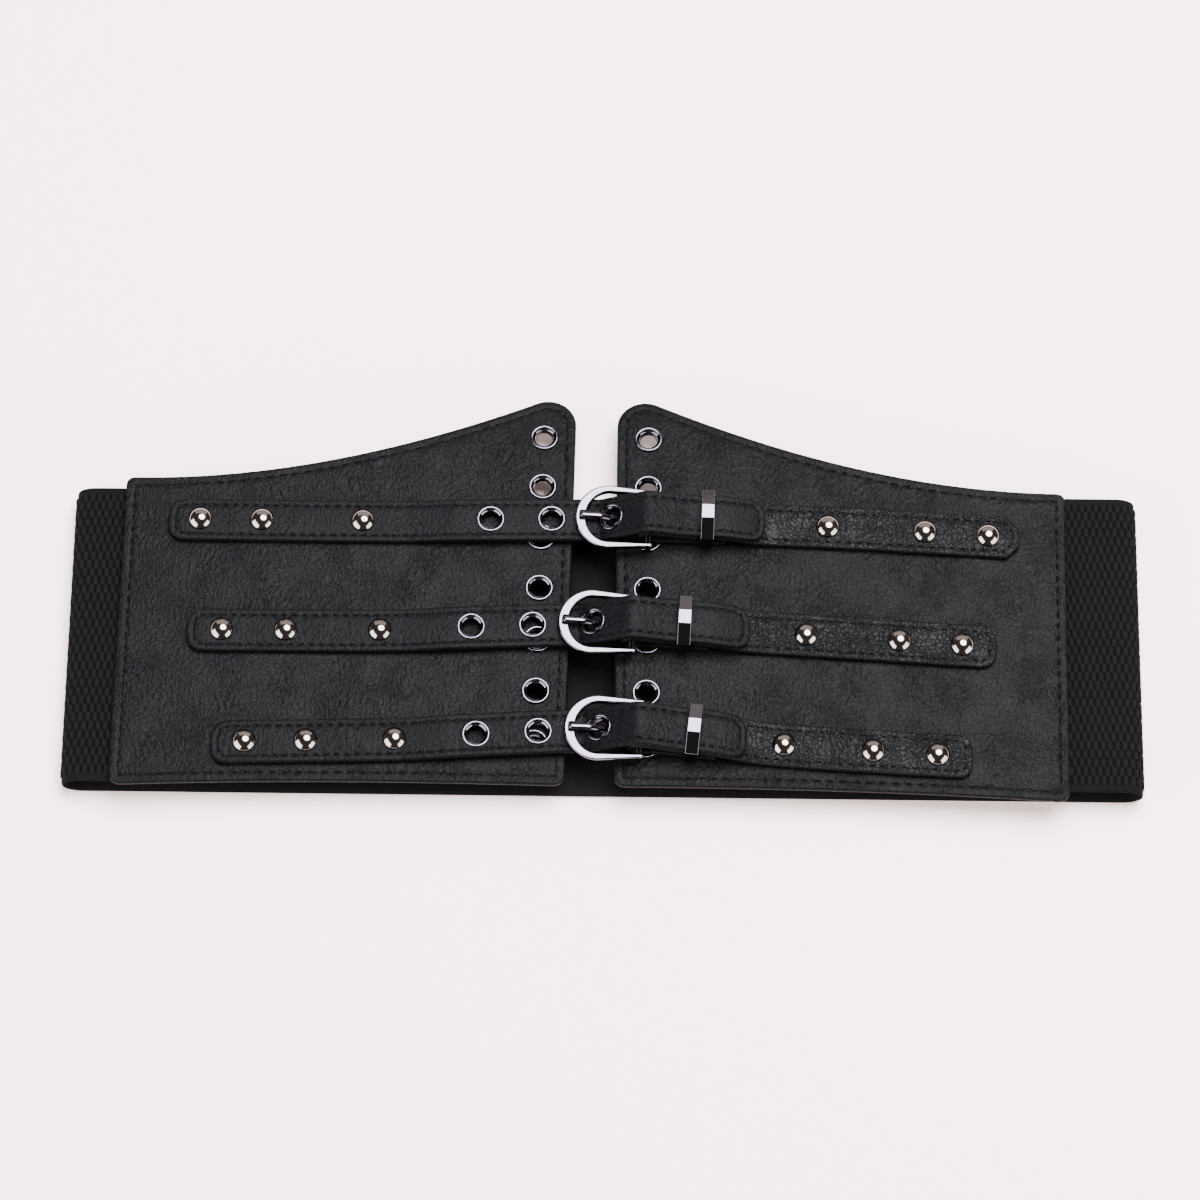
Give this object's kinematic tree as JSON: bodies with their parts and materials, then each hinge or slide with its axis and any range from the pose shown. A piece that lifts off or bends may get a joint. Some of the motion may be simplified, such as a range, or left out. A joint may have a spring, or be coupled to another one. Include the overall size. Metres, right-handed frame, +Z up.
{
  "type": "corset belt",
  "caption": "Wide elastic waist belt with two peaked leather-look front panels, closed by three buckled straps with studs and eyelets, lying on its back.",
  "frame": {"origin": "on the surface that the belt lies on, below the middle of its box", "axes": "+X along the waist towards the folded buckle straps, +Y towards the panels' peaks, +Z up from the surface"},
  "size_m": [0.3398, 0.1346, 0.0247],
  "materials": {
    "leather": "black grained leather cloth, semi-matt, with turned and stitched edges",
    "elastic": "black woven elastic with a raised staggered weave and plain selvedges",
    "metal": "polished black nickel plating"
  },
  "bodies": {
    "root": {"elastic_band": "elastic", "left_panel": "leather", "right_panel": "leather", "tongue_strap_top": "leather", "tongue_strap_middle": "leather", "tongue_strap_bottom": "leather", "buckle_strap_top": "leather", "buckle_strap_middle": "leather", "buckle_strap_bottom": "leather", "buckle_frame_top": "metal", "buckle_frame_middle": "metal", "buckle_frame_bottom": "metal", "prong_top": "metal", "prong_middle": "metal", "prong_bottom": "metal", "keeper_top": "metal", "keeper_middle": "metal", "keeper_bottom": "metal", "stud_top_left_1": "metal", "stud_top_left_2": "metal", "stud_top_left_3": "metal", "stud_top_right_1": "metal", "stud_top_right_2": "metal", "stud_top_right_3": "metal", "stud_middle_left_1": "metal", "stud_middle_left_2": "metal", "stud_middle_left_3": "metal", "stud_middle_right_1": "metal", "stud_middle_right_2": "metal", "stud_middle_right_3": "metal", "stud_bottom_left_1": "metal", "stud_bottom_left_2": "metal", "stud_bottom_left_3": "metal", "stud_bottom_right_1": "metal", "stud_bottom_right_2": "metal", "stud_bottom_right_3": "metal", "panel_eyelet_left_1": "metal", "panel_eyelet_left_2": "metal", "panel_eyelet_left_3": "metal", "panel_eyelet_left_4": "metal", "panel_eyelet_left_5": "metal", "panel_eyelet_left_6": "metal", "panel_eyelet_left_7": "metal", "panel_eyelet_right_1": "metal", "panel_eyelet_right_2": "metal", "panel_eyelet_right_3": "metal", "panel_eyelet_right_4": "metal", "panel_eyelet_right_5": "metal", "panel_eyelet_right_6": "metal", "panel_eyelet_right_7": "metal", "strap_eyelet_top_1": "metal", "strap_eyelet_top_2": "metal", "strap_eyelet_top_3": "metal", "strap_eyelet_middle_1": "metal", "strap_eyelet_middle_2": "metal", "strap_eyelet_middle_3": "metal", "strap_eyelet_bottom_1": "metal", "strap_eyelet_bottom_2": "metal", "strap_eyelet_bottom_3": "metal"}
  },
  "joints": []
}
